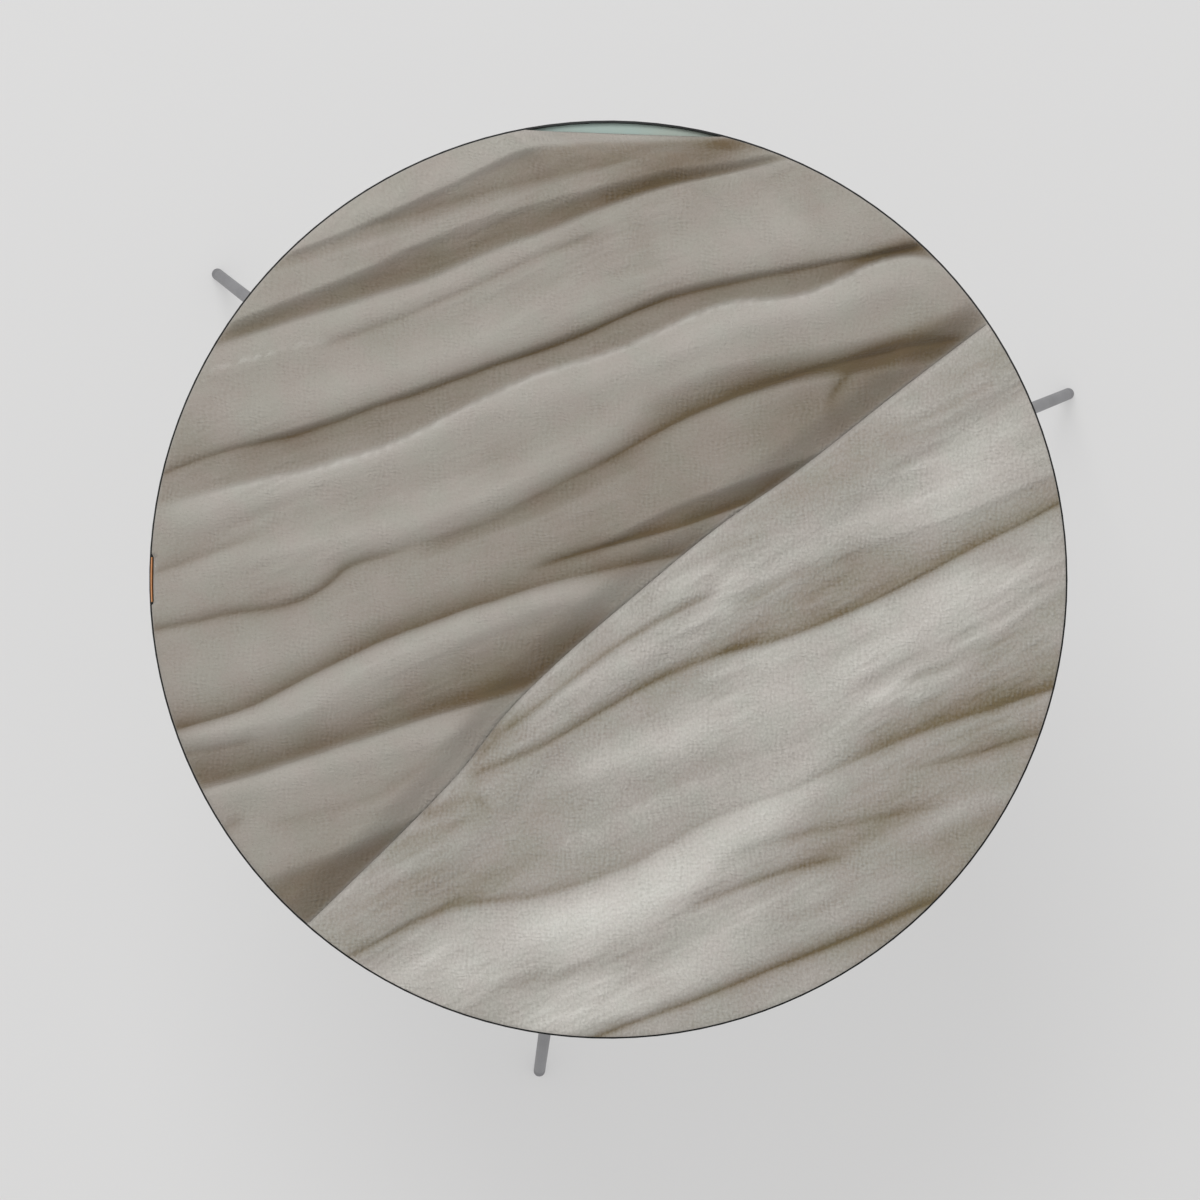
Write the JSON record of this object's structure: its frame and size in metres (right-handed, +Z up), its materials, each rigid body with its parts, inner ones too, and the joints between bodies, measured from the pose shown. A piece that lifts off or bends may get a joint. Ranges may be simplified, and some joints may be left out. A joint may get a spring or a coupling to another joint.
{
  "type": "side table with cloth",
  "caption": "Round side table on splayed steel rod legs, its top covered by a gathered plush cloth and a plush overlay laid inside a thin black rim.",
  "frame": {"origin": "on the floor, on the axis of the round top", "axes": "+Z up through the middle of the top; +X and +Y along the floor, with the first leg 22 degrees anticlockwise from +X"},
  "size_m": [0.5998, 0.5931, 0.484],
  "materials": {
    "wood_core": "raw",
    "pale_laminate": "matt",
    "backing": "matt",
    "rim_black": "satin",
    "leg_grey": "satin powder coat",
    "foot_grey": "matt",
    "screw_steel": "zinc plated",
    "screw_dark": "black oxide",
    "plush": "short plush pile",
    "plush_overlay": "short plush pile",
    "tab_ribbon": "woven ribbon"
  },
  "bodies": {
    "table": {"top_core": "wood_core", "top_laminate": "pale_laminate", "backing_laminate": "backing", "rim_band": "rim_black", "leg_1": "leg_grey", "leg_2": "leg_grey", "leg_3": "leg_grey", "foot_1": "foot_grey", "foot_2": "foot_grey", "foot_3": "foot_grey", "leg_plate_1": "leg_grey", "leg_plate_2": "leg_grey", "leg_plate_3": "leg_grey", "leg_socket_1": "leg_grey", "leg_socket_2": "leg_grey", "leg_socket_3": "leg_grey", "plate_screws_1": "screw_steel", "plate_screws_2": "screw_steel", "plate_screws_3": "screw_steel", "grub_screw_1": "screw_dark", "grub_screw_2": "screw_dark", "grub_screw_3": "screw_dark"},
    "under_cloth": {"under_cloth": "plush", "hem_tab": "tab_ribbon"},
    "overlay": {"overlay_cloth": "plush_overlay"}
  },
  "joints": [
    {"name": "cloth_lift", "type": "slide", "parent": "table", "child": "under_cloth", "axis": [0, 0, 1], "range_m": [0, 0.12]},
    {"name": "overlay_lift", "type": "slide", "parent": "under_cloth", "child": "overlay", "axis": [0, 0, 1], "range_m": [0, 0.1]}
  ]
}
